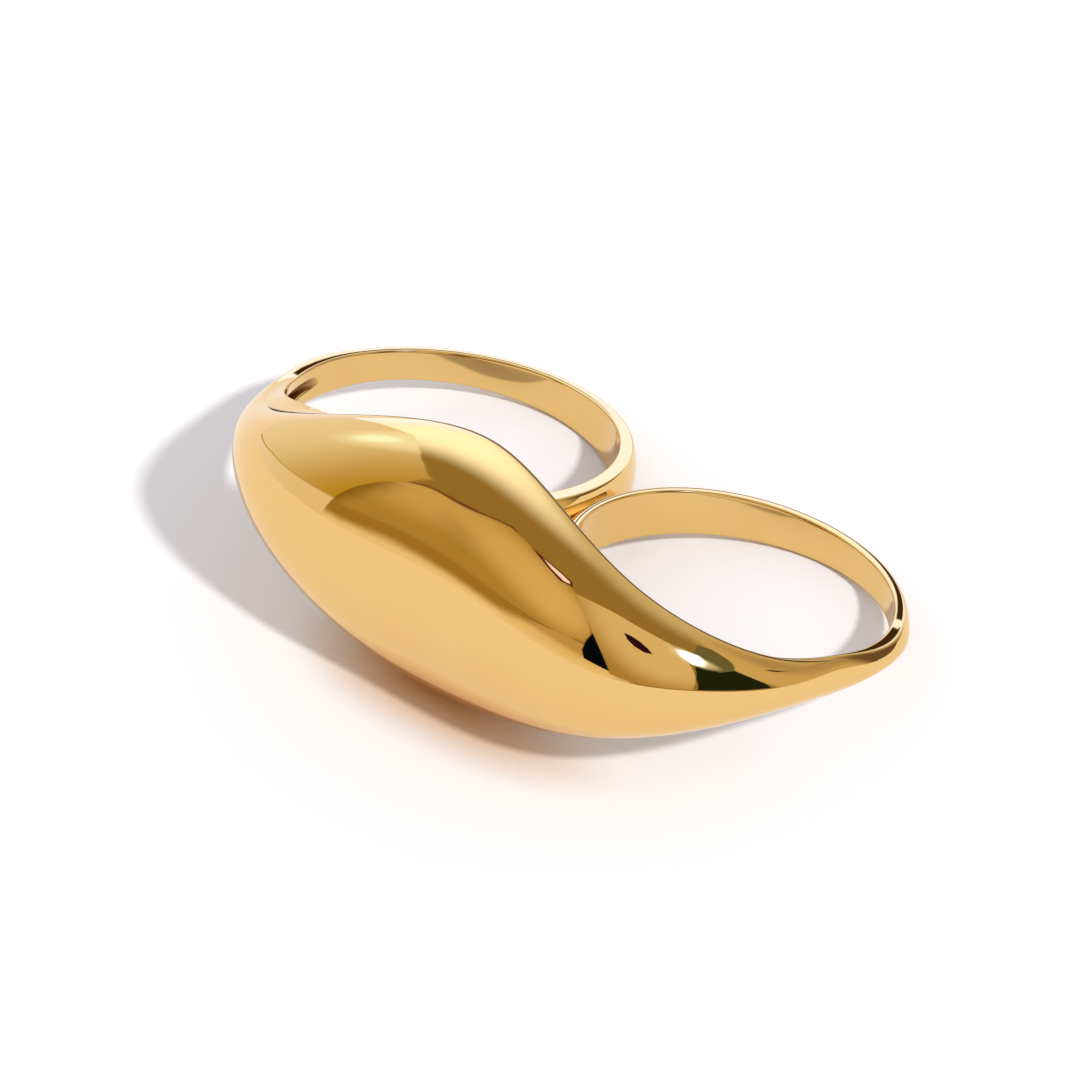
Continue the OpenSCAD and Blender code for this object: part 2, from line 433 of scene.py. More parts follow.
    def pocket(self, angle: float, wall: float) -> Pocket:
        """Hollow behind the dome at an angle.

        Args:
            angle: Direction of the section in degrees.
            wall: Distance to the bore's wall.

        Returns:
            The hollow's sizes, flat on the wall where there is none.
        """
        crease, bulge, half, middle, _, edge = self.values(angle)
        near = max(min(angle - a, b - angle) for a, b in self.hollows)
        rest = 1 - min(max(near / self.hollow_closing, 0), 1)
        tip = 1 - min(max(near / self.hollow_tip, 0), 1)
        full = self.mouth_share * (edge - middle - self.hollow_rim)
        narrow, wide = self.idle_mouth
        idle = narrow + (wide - narrow) * min(max(-near / self.idle_spread, 0), 1)
        front = crease + bulge - self.hollow_wall
        return Pocket(
            opening=math.sqrt(1 - rest * rest),
            mouth=max(full * math.sqrt(1 - tip * tip), idle),
            shoulder=min(crease - self.shoulder_inset, (wall + front) / 2),
            front=front,
            inner=max(half - self.cheek_walls * self.hollow_wall, full / 2),
        )

    def section(self, angle: float) -> Section:
        """Section of the dome at an angle.

        Args:
            angle: Direction of the section in degrees.

        Returns:
            The section, with the hollow and the painted dark lines that lie there.
        """
        crease, bulge, half, middle, power, edge = self.values(angle)
        bore, notch = self.bore_distance(angle), self.notch(angle)
        wall = max(bore, notch)
        pocket = self.pocket(angle, wall)
        sharp_start, sharp_end, softening = self.sharp
        sharp = fade(min(angle - sharp_start, sharp_end - angle) / softening)
        tail, line = (fade((angle - begin) / span) for begin, span in (self.tail, self.line))
        line *= 1 - tail
        soft_round, sharp_round, tail_round = self.crease_rounds
        shut_round, open_round = self.lip_rounds
        thin, thick = self.line_widths
        swollen = math.exp(-((angle - self.widest[0]) / self.widest[1]) ** 2)
        return Section(
            start_x=HALF_SPACING * math.cos(math.radians(angle)), angle=angle, wall=wall,
            rim=max(bore, notch + self.notch_lip if notch else 0),
            crease=crease, bulge=bulge, power=power, upper=middle + half, lower=middle - half,
            rim_upper=edge, rim_lower=2 * middle - edge,
            crease_round=(soft_round + (sharp_round - soft_round) * sharp
                          + (tail_round - soft_round) * tail),
            lip_round=shut_round + (open_round - shut_round) * pocket.opening,
            dark_rim=float(np.interp(angle, *self.rim_wedge)),
            dark_crease=float(np.interp(angle, *self.tail_wedge)),
            dark_front=(thin + (thick - thin) * swollen) * line,
            crease_line=line, pocket=pocket)

    def kinks(self) -> list[float]:
        """Finds where the walls of the finger bores meet the flat back of the notch.

        Returns:
            The two angles.
        """
        found = []
        for low, high in self.kink_search:
            # halving this often leaves less than a millionth of a degree
            for _ in range(50):
                mid = (low + high) / 2
                low, high = (mid, high) if self.bore_distance(mid) > self.notch(mid) else (low, mid)
            found.append((low + high) / 2)
        return found

    def sections(self) -> list[Section]:
        """Makes the sections, closer together where the skin has an edge.

        Returns:
            Sections from the left end to the right end.
        """
        count = 1 + round((self.right_end - self.left_end) / self.section_step)
        angles = set(np.linspace(self.left_end, self.right_end, count))
        for kink in self.kinks():
            angles = {a for a in angles if abs(a - kink) > self.kink_clear}
            angles |= {kink - self.kink_width, kink, kink + self.kink_width}
        for start, end in self.hollows:
            for step in self.lip_steps:
                angles |= {start + step, end - step}
        return [self.section(a) for a in sorted(angles)]


class Side(Enum):
    """Which of the two bands: the sign is that of its x."""

    LARGE = -1
    SMALL = 1


@dataclass
class Band:
    """Slim band round one finger, with a rounded outer face about an eccentric circle.

    Outer gives that circle's centre, seen from the finger's axis, and its radius, and crown_r how
    the face is rounded across. Top and bottom hold a face's mean height at the bore's wall, and how
    much it grows towards x and towards y. The band runs from its buried end, whose two angles are
    where it starts to close and where it is closed, to the joint with the dome's end.
    """

    side: Side
    bore_r: float
    outer_x: float
    outer_y: float
    outer_r: float
    crown_r: float
    top: tuple[float, float, float]
    bottom: tuple[float, float, float]
    joint: float
    buried: tuple[float, float]
    section_step: float = 1.5
    # parts of the buried stretch where sections are laid, and the degrees before it where one is
    closing: tuple[float, float] = (0.9, 0.02)
    beside: float = 0.12
    # how small a section is there, before the band closes in a point
    buried_size: float = 0.8
    # degrees into the dome at which its slope is taken, and over which the band takes on its form
    probe: float = 0.5
    lead: float = 32.0
    # how dark the painted line on the rim's rounding is away from the joint and at it, and the
    # degrees between
    rim_lines: tuple[float, float] = (0.1, 0.5)
    line_lead: float = 30.0
    # most that the outer face stands prouder, the angle where it does, and how far that reaches
    swell: tuple[float, float, float] = (0.0, 20.0, 45.0)
    # painted dark wedges on the upper face, where it mirrors the unlit room, as angles and the
    # widths there
    rim_wedge: tuple[tuple[float, ...], ...] = ((0, 1), (0, 0))
    crease_wedge: tuple[tuple[float, ...], ...] = ((0, 1), (0, 0))

    def bare(self, angle: float) -> np.ndarray:
        """Crease distance, bulge, power and the heights of the creases and inner edges at an angle.

        Args:
            angle: Direction from the finger's axis in degrees.

        Returns:
            Crease, bulge, power, upper crease, lower crease, upper edge and lower edge.
        """
        c, s = math.cos(math.radians(angle)), math.sin(math.radians(angle))
        across = self.outer_x * s - self.outer_y * c
        outer = self.outer_x * c + self.outer_y * s + math.sqrt(self.outer_r ** 2 - across ** 2)
        top = [self.top[0], self.top[1] * c + self.top[2] * s]
        bottom = [self.bottom[0], self.bottom[1] * c + self.bottom[2] * s]
        crease = outer
        # the crease's distance and the face's height there depend on each other, and soon settle
        for _ in range(4):
            upper, lower = (f[0] + f[1] * crease / self.bore_r for f in (top, bottom))
            height = (upper + lower) / 2
            crease = outer - (self.crown_r - math.sqrt(self.crown_r ** 2 - height ** 2))
        return np.array([crease, outer - crease, 1.0, upper, -lower,
                         top[0] + top[1], -bottom[0] - bottom[1]])

    def section(self, angle: float, dome: Dome) -> Section:
        """Section at an angle, led smoothly into one end of the dome and buried in it at the other.

        Args:
            angle: Direction from the finger's axis in degrees.
            dome: The dome that the band joins.

        Returns:
            The section.
        """
        large = self.side is Side.LARGE
        end, step = (dome.left_end, self.probe) if large else (dome.right_end, -self.probe)
        here, near = (self.dome_values(dome.section(a)) for a in (end, end + step))
        away = angle - self.joint
        led = here + (near - here) / step * away
        mix = fade(1 - abs(away) / self.lead)
        crease, bulge, power, upper, lower, rim_upper, rim_lower = (
            self.bare(angle) * (1 - mix) + led * mix)
        most, middle, reach = self.swell
        bulge += most * (1 - mix) * fade(1 - abs(angle - middle) / reach)
        faint, strong = self.rim_lines
        edge, last = self.buried
        inside = min(max((angle - edge) / (last - edge), 0), 1)
        return Section(
            start_x=self.side.value * HALF_SPACING, angle=angle, wall=self.bore_r,
            rim=self.bore_r, crease=crease, bulge=bulge, power=power, upper=upper, lower=lower,
            rim_upper=rim_upper, rim_lower=rim_lower,
            crease_round=dome.crease_rounds[0], lip_round=dome.lip_rounds[0],
            rim_line=faint + (strong - faint) * fade(1 - abs(away) / self.line_lead),
            dark_rim=float(np.interp(angle, *self.rim_wedge)),
            dark_crease=float(np.interp(angle, *self.crease_wedge)),
            shrink=1.0 if inside == 0 else (0.0 if inside == 1 else self.buried_size),
            pocket=Pocket(mouth=dome.idle_mouth[1], shoulder=self.bore_r, front=self.bore_r))

    @staticmethod
    def dome_values(section: Section) -> np.ndarray:
        """The values of a dome's section that a band's section has too."""
        s = section
        return np.array([s.crease, s.bulge, s.power, s.upper, s.lower, s.rim_upper, s.rim_lower])

    def sections(self, dome: Dome) -> list[Section]:
        """Makes the sections, the first ones being a closed tip inside the dome.

        Args:
            dome: The dome that the band joins.

        Returns:
            Sections from the buried end to the joint.
        """
        edge, last = self.buried
        steps = round(abs(self.joint - edge) / self.section_step)
        closing = [edge + part * (last - edge) for part in self.closing]
        beside_edge = edge + math.copysign(self.beside, self.joint - edge)
        sweep = np.linspace(edge, self.joint, 1 + steps)[1:]
        return [self.section(a, dome) for a in (last, *closing, edge, beside_edge, *sweep)]


@dataclass
class Rest:
    """How the ring lies on the table: tipped back, rolled a little and moved over the origin."""

    tip: float = 18.36
    roll: float = 1.32
    shift: tuple[float, float, float] = (0.53, 1.88, 3.8)

    def matrix(self) -> Matrix:
        """Makes the matrix that lays the ring down.

        Returns:
            Matrix from the ring's frame in millimetres to the table's frame in metres.
        """
        tipped = Matrix.Rotation(math.radians(-self.tip), 4, "X")
        rolled = Matrix.Rotation(math.radians(self.roll), 4, "Y")
        return Matrix.Scale(MM, 4) @ Matrix.Translation(self.shift) @ tipped @ rolled


@dataclass(frozen=True)
class PolishedGoldPlate:
    """Yellow gold plating on brass, buffed to a mirror.

    It gives the eye clear, warm mirror images with a faint haze from the buffing wheel, thin
    painted dark lines along the edges that stand for the unlit room mirrored in their rounding, and
    a satin inside the hollow, where no wheel reaches, whose colour is darkened by painted shade.
    """

    name: str = "mirror-polished yellow gold plating"
    face: str = GOLD
    deep: str = "#E7BE74"
    # painted dark reflection of the unlit room along the edges
    edge: str = "#3C2208"
    # painted shade that darkens the colour inside the hollow
    hollow_shade: str = "#74420E"
    smooth: float = 0.012
    hazy: float = 0.035
    satin: float = 0.4
    # size of the hazy clouds that a buffing wheel leaves
    haze_mm: float = 3.0
    # values of their pattern where the plating is clearest and haziest
    haze_range: tuple[float, float] = (0.3, 0.7)

    def material(self) -> bpy.types.Material:
        """Makes the material.

        Returns:
            A metallic material whose tone and haze drift slowly over the skin.
        """
        made = bpy.data.materials.new(self.name)
        made.use_nodes = True
        tree = made.node_tree
        tree.nodes.clear()
        place = add_node(tree, "ShaderNodeTexCoord")
        drift = add_node(tree, "ShaderNodeTexNoise", inputs={
            "Vector": place.outputs["Object"], "Scale": 1 / (self.haze_mm * MM),
            "Detail": 3.0, "Roughness": 0.55})
        haze = add_node(tree, "ShaderNodeMapRange", inputs={
            "Value": drift.outputs["Fac"], "From Min": self.haze_range[0],
            "From Max": self.haze_range[1], "To Min": self.smooth, "To Max": self.hazy})
        tone = add_node(tree, "ShaderNodeMix", {"data_type": "RGBA"}, {
            0: drift.outputs["Fac"], 6: linear(self.face), 7: linear(self.deep)})
        shade = add_node(tree, "ShaderNodeAttribute", {"attribute_name": SHADE})
        parts = add_node(tree, "ShaderNodeSeparateXYZ", inputs={"Vector": shade.outputs["Vector"]})
        # mixes in the painted dark edge reflection, then the painted shade in the hollow
        edged = add_node(tree, "ShaderNodeMix", {"data_type": "RGBA"}, {
            0: parts.outputs["X"], 6: tone.outputs[2], 7: linear(self.edge)})
        hollowed = add_node(tree, "ShaderNodeMix", {"data_type": "RGBA"}, {
            0: parts.outputs["Y"], 6: edged.outputs[2], 7: linear(self.hollow_shade)})
        # the painted edge lines lose their metal too, so they stay dark
        metal = add_node(tree, "ShaderNodeMapRange", inputs={
            "Value": parts.outputs["X"], "To Min": 1.0, "To Max": 0.0})
        rough = add_node(tree, "ShaderNodeMapRange", inputs={
            "Value": parts.outputs["Y"], "To Min": haze.outputs["Result"], "To Max": self.satin})
        shader = add_node(tree, "ShaderNodeBsdfPrincipled", inputs={
            "Base Color": hollowed.outputs[2], "Metallic": metal.outputs["Result"],
            "Roughness": rough.outputs["Result"], "Specular IOR Level": 0.0})
        add_node(tree, "ShaderNodeOutputMaterial", inputs={"Surface": shader.outputs["BSDF"]})
        return made


@dataclass(frozen=True)
class WhitePaper:
    """Matt white paper under the ring.

    It gives the eye a plain bright ground, with painted warm bounce light and shade under the
    dome's front, where the gold throws its light down.
    """

    name: str = "matt white paper"
    colour: str = "#F2F2F2"
    rough: float = 0.95
    # colour of the painted warm bounce light and shade near the dome
    painted_bounce_shade: str = "#CC9A58"
    # how far the ring hides the room, and the shares left open where the painted bounce light and
    # shade is full and where the paper is plain white
    reach_mm: float = 3.0
    open_shares: tuple[float, float] = (0.3, 0.95)
    # direction on the table towards the lit side, and the distances along it where the painted
    # bounce light and shade ends
    to_lit_side: tuple[float, float, float] = (0.29, 0.96, 0.0)
    lit_from_mm: tuple[float, float] = (-9.5, -4.0)

    def material(self) -> bpy.types.Material:
        """Makes the material.

        Returns:
            A matt material that is white in the open, with painted warm bounce light and shade
            where the dome's front overhangs it.
        """
        made = bpy.data.materials.new(self.name)
        made.use_nodes = True
        tree = made.node_tree
        open_sky = add_node(tree, "ShaderNodeAmbientOcclusion", {"samples": 8}, {
            "Distance": self.reach_mm * MM})
        free = add_node(tree, "ShaderNodeMapRange", inputs={
            "Value": open_sky.outputs["AO"],
            "From Min": self.open_shares[0], "From Max": self.open_shares[1]})
        place = add_node(tree, "ShaderNodeTexCoord")
        back = add_node(tree, "ShaderNodeVectorMath", {"operation": "DOT_PRODUCT"}, {
            0: place.outputs["Object"], 1: self.to_lit_side})
        lit_side = add_node(tree, "ShaderNodeMapRange", {"interpolation_type": "SMOOTHSTEP"}, {
            "Value": back.outputs["Value"],
            "From Min": self.lit_from_mm[0] * MM, "From Max": self.lit_from_mm[1] * MM})
        white = add_node(tree, "ShaderNodeMath", {"operation": "MAXIMUM"}, {
            0: free.outputs["Result"], 1: lit_side.outputs["Result"]})
        # painted bounce light and shade: warmer and darker where the ring hides the room, shaded
        # side only
        tone = add_node(tree, "ShaderNodeMix", {"data_type": "RGBA"}, {
            0: white.outputs[0], 6: linear(self.painted_bounce_shade), 7: linear(self.colour)})
        shader = tree.nodes["Principled BSDF"]
        tree.links.new(tone.outputs[2], shader.inputs["Base Color"])
        shader.inputs["Roughness"].default_value = self.rough
        shader.inputs["Specular IOR Level"].default_value = 0.0
        return made


@dataclass
class DoubleRing:
    """The whole ring, as one closed skin swept round both bands and along the dome."""

    dome: Dome = field(default_factory=Dome)
    rest: Rest = field(default_factory=Rest)
    finish: PolishedGoldPlate = field(default_factory=PolishedGoldPlate)
    large: Band = field(default_factory=lambda: Band(
        side=Side.LARGE, bore_r=LARGE_BORE_R, outer_x=0.22, outer_y=-0.28, outer_r=9.72,
        crown_r=3.1, top=(1.275, 0.325, -0.175), bottom=(1.275, 0.325, -0.175),
        joint=180.0, buried=(-29.05, -36.5),
        rim_wedge=((60, 90, 165, 180), (0, 0.04, 0.08, 0.14))))
    small: Band = field(default_factory=lambda: Band(
        side=Side.SMALL, bore_r=SMALL_BORE_R, outer_x=-0.22, outer_y=0.0, outer_r=8.70,
        crown_r=1.7, top=(1.15, -0.2, -0.175), bottom=(0.9, -0.45, 0.075),
        joint=0.0, buried=(212.35, 217.5),
        swell=(0.25, 20.0, 45.0),
        crease_wedge=((0, 12, 18, 20.5, 21, 25.5, 26, 29, 45, 60, 80),
                      (0.36, 0.44, 0.42, 0.3, 0, 0, 0.25, 0.3, 0.2, 0.13, 0.04))))
    # points of the seam lie on each other, so a distance far below a micrometre joins them
    seam: float = 1e-8

    def sections(self) -> list[Section]:
        """All sections in order: round the larger band, along the dome, round the smaller band."""
        return (self.large.sections(self.dome) + self.dome.sections()[1:-1]
                + self.small.sections(self.dome)[::-1])

    def loft_tree(self) -> bpy.types.NodeTree:
        """Builds the tree that skins a grid over rows of points, one row for each section.

        Returns:
            A geometry node tree with named inputs for its counts, its seam and its finish.
        """
        tree = bpy.data.node_groups.new("Skin over sections", "GeometryNodeTree")
        sockets = {"Outlines": "NodeSocketGeometry", "Sections": "NodeSocketInt",
                   "Points in a Section": "NodeSocketInt", "Seam Distance": "NodeSocketFloat",
                   "Shade Name": "NodeSocketString", "Finish": "NodeSocketMaterial"}
        for name, kind in sockets.items():
            tree.interface.new_socket(name=name, in_out="INPUT", socket_type=kind)
        tree.interface.new_socket(name="Skin", in_out="OUTPUT", socket_type="NodeSocketGeometry")
        given = add_node(tree, "NodeGroupInput").outputs
        grid = add_node(tree, "GeometryNodeMeshGrid", inputs={
            "Vertices X": given["Sections"], "Vertices Y": given["Points in a Section"]})
        place = add_node(tree, "GeometryNodeInputPosition")
        index = add_node(tree, "GeometryNodeInputIndex")
        sample = add_node(tree, "GeometryNodeSampleIndex", {"data_type": "FLOAT_VECTOR"}, {
            "Geometry": given["Outlines"], "Value": place.outputs["Position"],
            "Index": index.outputs["Index"]})
        moved = add_node(tree, "GeometryNodeSetPosition", inputs={
            "Geometry": grid.outputs["Mesh"], "Position": sample.outputs["Value"]})
        shade = add_node(tree, "GeometryNodeInputNamedAttribute", {"data_type": "FLOAT_VECTOR"}, {
            "Name": given["Shade Name"]})
        taken = add_node(tree, "GeometryNodeSampleIndex", {"data_type": "FLOAT_VECTOR"}, {
            "Geometry": given["Outlines"], "Value": shade.outputs["Attribute"],
            "Index": index.outputs["Index"]})
        store = {"data_type": "FLOAT_VECTOR", "domain": "POINT"}
        shaded = add_node(tree, "GeometryNodeStoreNamedAttribute", store, {
            "Geometry": moved.outputs["Geometry"], "Name": given["Shade Name"],
            "Value": taken.outputs["Value"]})
        merged = add_node(tree, "GeometryNodeMergeByDistance", inputs={
            "Geometry": shaded.outputs["Geometry"], "Distance": given["Seam Distance"]})
        outward = add_node(tree, "GeometryNodeFlipFaces", inputs={
            "Mesh": merged.outputs["Geometry"]})
        smooth = add_node(tree, "GeometryNodeSetShadeSmooth", inputs={
            "Geometry": outward.outputs["Mesh"]})
        real = add_node(tree, "GeometryNodeRealizeInstances", inputs={
            "Geometry": smooth.outputs["Geometry"]})
        dressed = add_node(tree, "GeometryNodeSetMaterial", inputs={
            "Geometry": real.outputs["Geometry"], "Material": given["Finish"]})
        add_node(tree, "NodeGroupOutput", inputs={"Skin": dressed.outputs["Geometry"]})
        return tree

    def build(self) -> bpy.types.Object:
        """Builds the ring's skin as one plain mesh.

        Returns:
            The finished piece, at the origin with its place in its mesh.
        """
        outlines = [section.outline() for section in self.sections()]
        rows = [np.concatenate([points, points[:1]]) for points, _ in outlines]
        guide = bpy.data.meshes.new("ring_outlines")
        guide.from_pydata(np.concatenate(rows).tolist(), [], [])
        # painted edge lines and painted hollow shade, one value per point of the outlines
        shade = guide.attributes.new(SHADE, "FLOAT_VECTOR", "POINT")
        shade.data.foreach_set("vector", np.concatenate([[*s, s[0]] for _, s in outlines]).ravel())
        guide.transform(self.rest.matrix())
        helper = bpy.data.objects.new("ring_outlines", guide)
        bpy.context.scene.collection.objects.link(helper)
        tree = self.loft_tree()
        skin = helper.modifiers.new("Skin", "NODES")
        skin.node_group = tree
        values = {"Sections": len(rows), "Points in a Section": len(rows[0]),
                  "Seam Distance": self.seam, "Shade Name": SHADE, "Finish": self.finish.material()}
        for item in tree.interface.items_tree:
            if item.in_out == "INPUT" and item.name in values:
                skin[item.identifier] = values[item.name]
        evaluated = helper.evaluated_get(bpy.context.evaluated_depsgraph_get())
        mesh = bpy.data.meshes.new_from_object(evaluated)
        helper.modifiers.remove(skin)
        bpy.data.objects.remove(helper)
        mesh.name = "ring_skin"
        piece = bpy.data.objects.new("ring_skin", mesh)
        bpy.context.scene.collection.objects.link(piece)
        return piece


class Edge(Enum):
    """How many degrees the edge of a thing in the studio takes to fade."""

    CRISP = 0.6
    SOFT = 5.0
    HAZY = 14.0


def toward(azimuth: float, down: float) -> Vector:
    """Unit direction from an azimuth and an angle down from overhead, both in degrees."""
    a, d = math.radians(azimuth), math.radians(down)
    return Vector((math.cos(a) * math.sin(d), math.sin(a) * math.sin(d), math.cos(d)))


@dataclass
class Glow:
    """A round patch of light on a wall or ceiling that fades from its middle outwards."""

    name: str
    colour: str
    middle: tuple[float, float]
    bright: float
    reach: float
    level: float = 1.0

    def light(self, tree: bpy.types.NodeTree, ray: bpy.types.NodeSocket) -> tuple:
        """The glow's light, which is the same all over and so needs no nodes."""
        return lit(self.colour, self.level)

    def mask(self, tree: bpy.types.NodeTree, ray: bpy.types.NodeSocket) -> bpy.types.NodeSocket:
        """Adds the nodes that tell how near a ray is to the glow's middle.

        Args:
            tree: The surroundings' node tree.
            ray: Direction of the ray.

        Returns:
            A socket that is 1 in the middle and 0 out of reach.
        """
        near = add_node(tree, "ShaderNodeVectorMath", {"operation": "DOT_PRODUCT"}, {
            0: ray, 1: toward(*self.middle)})
        faded = add_node(
            tree, "ShaderNodeMapRange", {"interpolation_type": "SMOOTHSTEP", "label": self.name}, {
                "Value": near.outputs["Value"], "From Min": math.cos(math.radians(self.reach)),
                "From Max": math.cos(math.radians(self.bright))})
        return faded.outputs["Result"]


@dataclass
class Card:
    """A flat wall, reflector, lamp or dark flag, given by its corners as seen from the ring."""

    name: str
    colour: str
    edge: Edge
    corners: tuple[tuple[float, float], ...]
    glows: tuple[Glow, ...] = ()
    level: float = 1.0

    def light(self, tree: bpy.types.NodeTree,
              ray: bpy.types.NodeSocket) -> bpy.types.NodeSocket | tuple:
        """Adds the nodes for the card's light with the glows that lie on it.

        Args:
            tree: The surroundings' node tree.
            ray: Direction of the ray.

        Returns:
            Colour socket, or a plain colour for a card without glows.
        """
        seen = lit(self.colour, self.level)
        for glow in self.glows:
            seen = add_node(tree, "ShaderNodeMix", {"data_type": "RGBA"}, {
                0: glow.mask(tree, ray), 6: seen, 7: glow.light(tree, ray)}).outputs[2]
        return seen

    def mask(self, tree: bpy.types.NodeTree, ray: bpy.types.NodeSocket) -> bpy.types.NodeSocket:
        """Adds the nodes that tell how far a ray hits the card.

        Args:
            tree: The surroundings' node tree.
            ray: Direction of the ray.

        Returns:
            A socket that is 1 on the card and 0 beside it.
        """
        points = [toward(*corner) for corner in self.corners]
        centre = sum(points, Vector((0, 0, 0))).normalized()
        inside = None
        for a, b in zip(points, points[1:] + points[:1]):
            normal = a.cross(b).normalized()
            normal *= math.copysign(1, normal.dot(centre))
            side = add_node(tree, "ShaderNodeVectorMath", {"operation": "DOT_PRODUCT"}, {
                0: ray, 1: normal}).outputs["Value"]
            inside = side if inside is None else add_node(
                tree, "ShaderNodeMath", {"operation": "MINIMUM"}, {0: inside, 1: side}).outputs[0]
        half = math.sin(math.radians(self.edge.value)) / 2
        faded = add_node(
            tree, "ShaderNodeMapRange", {"interpolation_type": "SMOOTHSTEP", "label": self.name}, {
                "Value": inside, "From Min": -half, "From Max": half})
        return faded.outputs["Result"]


@dataclass
class Studio:
    """Table, key lamp and the soft surroundings that the polished ring mirrors."""

    paper: WhitePaper = field(default_factory=WhitePaper)
    # half the table's side, in metres
    table_half: float = 0.9
    lamp_place: tuple[float, float, float] = (145.1, -16.5, 141.7)
    lamp_radius: float = 7.5
    lamp_level: float = 1.82
    ambient: str = "#DBD8DC"
    ambient_level: float = 1.05
    ceiling: str = "#956B27"
    backdrop: str = "#FFFFFF"
    # from the farthest to the nearest, because each hides what comes before it
    things: tuple[Card | Glow, ...] = (
        Glow("light on the back wall", "#CCA864", (112, 75), 20.6, 68.5),
        Glow("ceiling light", "#FFE4AA", (141.7, 45.8), 3, 42, level=1.24),
        Card("back wall", "#FBE8BE", Edge.HAZY,
             ((100, 70), (120, 66), (150, 66), (162, 99), (92, 99)), level=1.1),
        Card("far right wall", "#CD9E52", Edge.SOFT,
             ((92, 95), (90, 72), (67, 54), (51, 51.5), (38, 51), (25, 56), (18, 61), (12, 95)),
             (Glow("doorway", "#694825", (60, 87), 16, 33),)),
        Card("skirting of the front wall", "#C08C42", Edge.CRISP,
             ((244, 82), (262, 72), (274, 70), (282, 80), (286, 89), (244, 89))),
        Card("far part of the table, front", "#DFAE5B", Edge.SOFT,
             ((232, 84.5), (245, 81.5), (288, 81.5), (288, 95), (232, 95))),
        Card("nearer part of the table, front", "#EEC37B", Edge.HAZY,
             ((222, 87.5), (296, 87.5), (296, 104), (222, 104))),
        Card("dark rim", "#5A2010", Edge.CRISP,
             ((232.1, 54), (231.7, 46), (232.5, 32), (234, 31.4), (246, 50), (236, 56))),
        Card("front left wall", "#AE7E2E", Edge.CRISP,
             ((232.9, 80), (232.6, 53), (232.2, 46), (233, 34), (234, 32.2), (238.5, 31.3),
              (265.6, 27.6), (272.5, 37.7), (276.6, 54.5), (274.3, 64.6), (270.7, 71),
              (260, 73.5), (247, 81)),
             (Glow("light on the front left wall", "#D8A554", (254, 52), 3, 25),)),
        Card("foot of the front left wall", "#A06E20", Edge.SOFT,
             ((229, 83), (238, 80), (246, 78.5), (249, 80), (242, 86), (237.6, 87), (229, 87))),
        Card("corner of the walls", "#8A5E14", Edge.SOFT,
             ((229, 57), (233.4, 57), (235.3, 62), (235.8, 72), (234.5, 79), (229, 80))),
        Card("left wall", "#B88000", Edge.CRISP,
             ((141, 98), (149.3, 68.6), (162.1, 44.4), (178, 37.5), (194.4, 35.5), (216.1, 38.6),
              (227.4, 44.1), (232.6, 53), (232.9, 62), (232.9, 92)),
             (Glow("daylight on the left wall", "#EAC783", (157, 73), 0, 79),
              Glow("lamp on the left wall", "#F9DFA0", (178, 43), 0, 19),
              Glow("middle of the lamp's light", "#FFFCC2", (181, 47), 0, 8))),
        Card("foot of the left wall", "#BE9650", Edge.CRISP,
             ((158.7, 96.2), (170.6, 90.3), (195.7, 82), (215.7, 79.4), (233, 78.1), (233.2, 94),
              (158.7, 98))),
        Card("far part of the table, left", "#E6BB74", Edge.CRISP,
             ((158.7, 97.2), (170.6, 91.2), (195.7, 82.9), (215.7, 80.2), (233, 78.9), (233.2, 94),
              (158.7, 98)),
             (Glow("white of the table", "#EAC98E", (155, 92), 5, 75),)),
        Card("pink strip's rim", "#5A2418", Edge.CRISP,
             ((237.8, 33), (246.5, 27.9), (255.5, 24.9), (266, 23.4), (266.4, 27.8), (255.8, 34.6),
              (249, 33))),
        Card("pink strip", "#F4CBA8", Edge.CRISP,
             ((239.5, 32.5), (249, 28.4), (256, 26.2), (263.6, 25.6), (263.8, 27.6), (256, 32.6),
              (250.5, 31)), level=1.1),
        Card("front right wall", "#AC7B2E", Edge.CRISP,
             ((265.4, 27.4), (288.1, 21.8), (315.8, 20.6), (342.5, 23.4), (11.9, 33.6),
              (15.9, 39.7), (354.8, 56.1), (335.7, 88.7), (319.6, 89.3), (302.7, 89),
              (284.9, 86), (277.2, 53.7)),
             (Glow("light on the front right wall", "#DAAD63", (334, 46), 19, 52),)),
        Card("dark gap", "#06080A", Edge.CRISP,
             ((277.2, 53.2), (281.4, 67), (285, 83.5), (270.7, 81.5), (269.8, 72), (273.2, 64.6))),
        Card("lens hole", "#2D0C0E", Edge.CRISP,
             ((312.8, 37.1), (321.9, 37.9), (327.7, 41), (329.9, 46), (329, 50.8), (321.2, 51),
              (314.6, 47.6), (311.3, 42.9))),
        Card("dark flag", "#1E200A", Edge.CRISP,
             ((24, 57), (10.5, 87.6), (335.6, 88.9), (343.3, 71.8), (355.9, 58), (8, 54))),
        Card("shade beside the lamp", "#6A5C2C", Edge.CRISP,
             ((42, 47.2), (50.2, 48.3), (54.8, 52.8), (45.6, 54), (21.3, 60), (8, 62), (14, 46))),
        Card("small dark hole", "#3A1008", Edge.CRISP,
             ((42, 61), (45.5, 61), (45.5, 63), (42, 63))),
        Glow("halo of the lamp", "#E8C98A", (8, 50), 2, 12),
        Card("key lamp", "#FFFFF0", Edge.SOFT,
             ((7.6, 44.5), (16, 45.5), (20.5, 48.5), (15.5, 52), (4, 56), (359.5, 54.5), (0.5, 49)),
             level=2.4),
    )

    def build_table(self, height: float) -> bpy.types.Object:
        """Lays the white paper that the ring lies on.

        Args:
            height: Height of the ring's lowest point in metres.

        Returns:
            The table's object, marked as stage.
        """
        r = self.table_half
        mesh = bpy.data.meshes.new("table")
        corners = [(-r, -r, height), (r, -r, height), (r, r, height), (-r, r, height)]
        mesh.from_pydata(corners, [], [(0, 1, 2, 3)])
        mesh.materials.append(self.paper.material())
        table = bpy.data.objects.new("table", mesh)
        bpy.context.scene.collection.objects.link(table)
        table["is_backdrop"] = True
        return table

